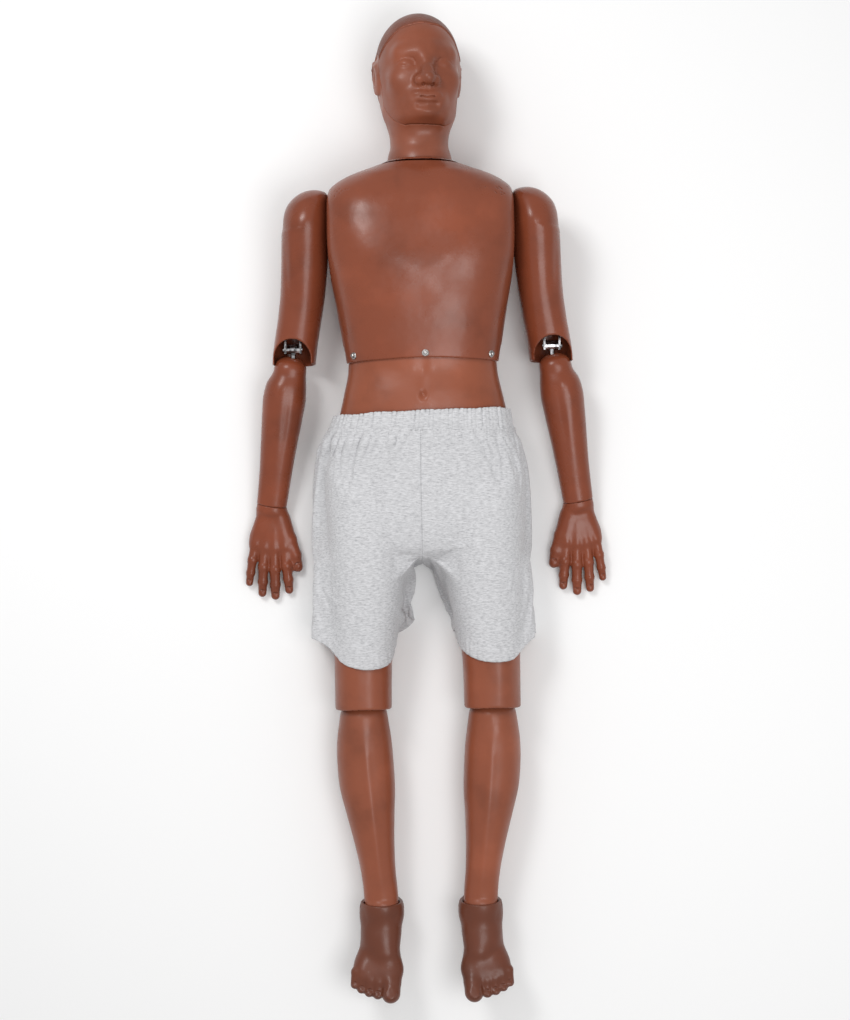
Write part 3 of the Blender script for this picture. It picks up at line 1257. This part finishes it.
def thicken(obj, thickness, offset):
    thick = obj.modifiers.new("thick", "SOLIDIFY")
    thick.thickness = thickness
    thick.offset = offset
    flatten(obj)


def read_points(mesh):
    points = np.empty(len(mesh.vertices) * 3, np.float32)
    mesh.vertices.foreach_get("co", points)
    return points.reshape(-1, 3).astype(float)


def write_points(mesh, points):
    mesh.vertices.foreach_set("co", points.astype(np.float32).ravel())
    mesh.update()


def way_out(mesh):
    """Directions away from the body: the sewn faces turn inward, so their normals are reversed."""
    normals = np.empty(len(mesh.vertices) * 3, np.float32)
    mesh.vertex_normals.foreach_get("vector", normals)
    return -normals.reshape(-1, 3).astype(float)


def fact(mesh, name):
    values = np.empty(len(mesh.vertices), np.float32)
    mesh.attributes[name].data.foreach_get("value", values)
    return values.astype(float)


def gather(mesh):
    """Adds the folds that fan out under the band, the seams and the stitched hems."""
    place = read_points(mesh)
    along, seam, drop, hem = [fact(mesh, name) for name in FACTS]
    left = place[:, 0] > SHORTS_SHIFT
    u = along + np.where(left, 0.137, 0.0)
    lean = u + drop * np.where(left, -0.26, -0.45)
    near = np.clip((0.085 - drop) / 0.065, 0, 1) ** 1.4
    far = np.clip((0.17 - drop) / 0.15, 0, 1) ** 1.5
    much = np.where(left, 0.8, 1.15) * np.clip(seam / 0.03, 0.25, 1)
    much = much * np.clip((drop - 0.004) / 0.022, 0.15, 1)
    rise = 0.005 * much * near * puffs(lean, (0.0158, 0.0217), (0.3, 1.9))
    rise += 0.0048 * much * far * puffs(lean + 0.06 * drop, (0.0345, 0.049), (0.9, 2.3))
    at_band = np.clip((0.02 - np.abs(drop - 0.012)) / 0.02, 0, 1)
    rise += 0.0012 * at_band * waves(u, (0.0062, 0.0051), (0.0, 1.3))
    rise -= 0.0011 * np.exp(-((seam / 0.0024) ** 2)) * (drop > 0.004)
    rise += 0.0007 * np.exp(-(((seam - 0.0062) / 0.003) ** 2))
    rise += 0.0007 * np.clip((0.0235 - hem) / 0.002, 0, 1)
    rise -= 0.0006 * np.exp(-(((hem - 0.0215) / 0.0018) ** 2))
    rise += 0.0006 * waves(along, (0.0095, 0.0137), (0.7, 2.0)) * np.clip((0.03 - hem) / 0.02, 0, 1)
    place += way_out(mesh) * rise[:, None]
    place[:, 2] = np.maximum(place[:, 2], 0.0012)
    write_points(mesh, place)


def build_shorts():
    points, facts, faces, halves = shorts_mesh()
    cloth = make_mesh("shorts_cloth", points, faces, [JERSEY, JERSEY])
    cloth.data.polygons.foreach_set("material_index", halves.astype(np.int32))
    for k, name in enumerate(FACTS):
        data = cloth.data.attributes.new(name, "FLOAT", "POINT")
        data.data.foreach_set("value", facts[:, k].astype(np.float32))
    pins = np.maximum(np.clip(1.0 - (facts[:, 2] - 0.004) / 0.012, 0.0, 1.0), 0.02)
    pins = np.minimum(pins + 0.16 * np.exp(-(((facts[:, 0] - 0.28) / 0.085) ** 2)), 1.0)
    settle(cloth, pins)
    smooth = cloth.modifiers.new("smooth", "SUBSURF")
    smooth.levels = 1
    smooth.render_levels = 1
    flatten(cloth)
    gather(cloth.data)
    for number, (side, word) in enumerate(SIDES):
        half = cloth.copy()
        half.data = cloth.data.copy()
        half.name = "shorts_%s_sewn" % word
        bpy.context.scene.collection.objects.link(half)
        edit = bmesh.new()
        edit.from_mesh(half.data)
        other = [f for f in edit.faces if f.material_index != number]
        bmesh.ops.delete(edit, geom=other, context="FACES")
        edit.to_mesh(half.data)
        edit.free()
        thicken(half, CLOTH_THICKNESS, -1.0)
        for p in half.data.polygons:
            p.material_index = 0
        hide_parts("shorts_" + word)
        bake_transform(half)
    bpy.data.objects.remove(cloth)
    build_waistband()


def build_waistband():
    """The gathered elastic band at the waist."""
    columns = 560
    rows = 17
    u = np.arange(columns) / columns * BAND_GIRTH
    pinch = waves(u, (0.0086, 0.0107, 0.0069, 0.0147), (0.2, 2.4, 4.4, 1.0))
    sway = 0.0012 * waves(u, (0.11, 0.071), (0.4, 2.0))
    points = []
    for i in range(rows):
        t = i / (rows - 1)
        y = BAND_LOW_Y + (BAND_HIGH_Y - BAND_LOW_Y) * t
        half, low, high, power = [float(v) for v in SHORTS_TRUNK(y)]
        half += 0.0004
        low -= 0.0004
        high += 0.0012
        deep = 0.5 * (high - low)
        line = oval_line(0.0, 0.5 * (low + high), half, deep, power, math.pi / 2, -1.5 * math.pi, columns + 1)
        line = line[:columns]
        edge = abs(2 * t - 1)
        out = (0.0015 + 0.001 * edge**2) * pinch + 0.0006 * (1 - edge**3)
        # The lower edge tucks in under the gathers, and two rows of stitches draw the elastic in.
        out -= 0.003 * math.exp(-((t / 0.2) ** 2))
        for stitch in (0.36, 0.68):
            out -= 0.0006 * math.exp(-(((t - stitch) / 0.05) ** 2))
        ring = np.stack([line[:, 0], np.full(columns, y), line[:, 1]], axis=1)
        ahead = np.roll(ring, -1, axis=0) - np.roll(ring, 1, axis=0)
        normal = np.stack([-ahead[:, 2], np.zeros(columns), ahead[:, 0]], axis=1)
        normal /= np.linalg.norm(normal, axis=1, keepdims=True)
        ring += normal * out[:, None]
        ring[:, 1] += t * (0.0011 * pinch + 0.0052 * np.clip(ring[:, 0] / 0.16, -1, 1) + sway)
        ring[:, 0] += SHORTS_SHIFT * (1 - 0.5 * t)
        ring[:, 2] = np.maximum(ring[:, 2], 0.0026)
        points.append(ring)
    a = np.arange((rows - 1) * columns).reshape(rows - 1, columns)
    b = np.roll(a, -1, axis=1)
    faces = np.stack([a, b, b + columns, a + columns], axis=-1).reshape(-1, 4)
    band = make_mesh("shorts_waistband_gathered", np.concatenate(points), faces, [JERSEY])
    thicken(band, BAND_THICKNESS, 1.0)
    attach(band, "trunk")
    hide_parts("shorts_waistband")


# ---------------------------------------------------------------- camera, light, floor
def build_set():
    scene = bpy.context.scene
    data = bpy.data.cameras.new("camera")
    data.sensor_fit = "VERTICAL"
    data.angle = math.radians(34.2)
    camera = bpy.data.objects.new("camera", data)
    camera.location = (0.0, 0.0, 3.0)
    camera.rotation_euler = (0.0, 0.0, -0.0157)
    scene.collection.objects.link(camera)
    scene.camera = camera

    mesh = bpy.data.meshes.new("floor")
    mesh.from_pydata([(-6, -6, 0), (6, -6, 0), (6, 6, 0), (-6, 6, 0)], [], [(0, 1, 2, 3)])
    floor = bpy.data.objects.new("floor", mesh)
    floor.location = (0.0, 0.0, CAD_BOX[0][2] - 0.0006)
    paper = Paint("floor_paper")
    mesh.materials.append(
        paper.done(Base_Color=(0.9, 0.9, 0.9, 1.0), Roughness=0.85, Specular_IOR_Level=0.2)
    )
    scene.collection.objects.link(floor)

    world = bpy.data.worlds.new("studio")
    world.use_nodes = True
    back = world.node_tree.nodes["Background"]
    back.inputs["Color"].default_value = (1.0, 1.0, 1.0, 1.0)
    back.inputs["Strength"].default_value = 0.57
    scene.world = world

    for name, place, size, power in (
        ("key", (-1.05, 1.35, 2.25), 0.8, 27.0),
        ("fill", (0.80, -0.50, 2.60), 1.3, 24.0),
        ("top", (0.12, 0.20, 2.92), 0.28, 4.0),
    ):
        light = bpy.data.lights.new(name, "AREA")
        light.shape = "RECTANGLE"
        light.size = size
        light.size_y = size
        light.energy = power
        lamp = bpy.data.objects.new(name, light)
        lamp.location = place
        aim = np.array((0.0, 0.1, 0.1)) - np.array(place)
        flat = math.hypot(aim[0], aim[1])
        lamp.rotation_euler = (math.atan2(flat, -aim[2]), 0.0, math.atan2(aim[1], aim[0]) - math.pi / 2)
        lamp.visible_camera = False
        scene.collection.objects.link(lamp)
    scene.view_settings.view_transform = "Standard"


def dress_frame():
    """The frame's own steel, plastic and board keep their shapes and get finished materials."""
    for name, obj in frame["nodes"].items():
        slot = next(s["material_slot"] for s in frame["record"]["subparts"] if s["node"] == name)
        mat = {"chrome": CHROME, "white_plastic": PLASTIC, "board": BOARD, "jersey": PLASTIC}.get(slot, ARM)
        if name.startswith("chest_screw") or name.startswith("screw_cup"):
            mat = STEEL
        obj.data.materials.clear()
        obj.data.materials.append(mat)


build_set()
dress_frame()
build_trunk()
build_head()
for SIDE, WORD in SIDES:
    build_arm(SIDE, WORD)
    build_leg(SIDE, WORD)
build_shorts()
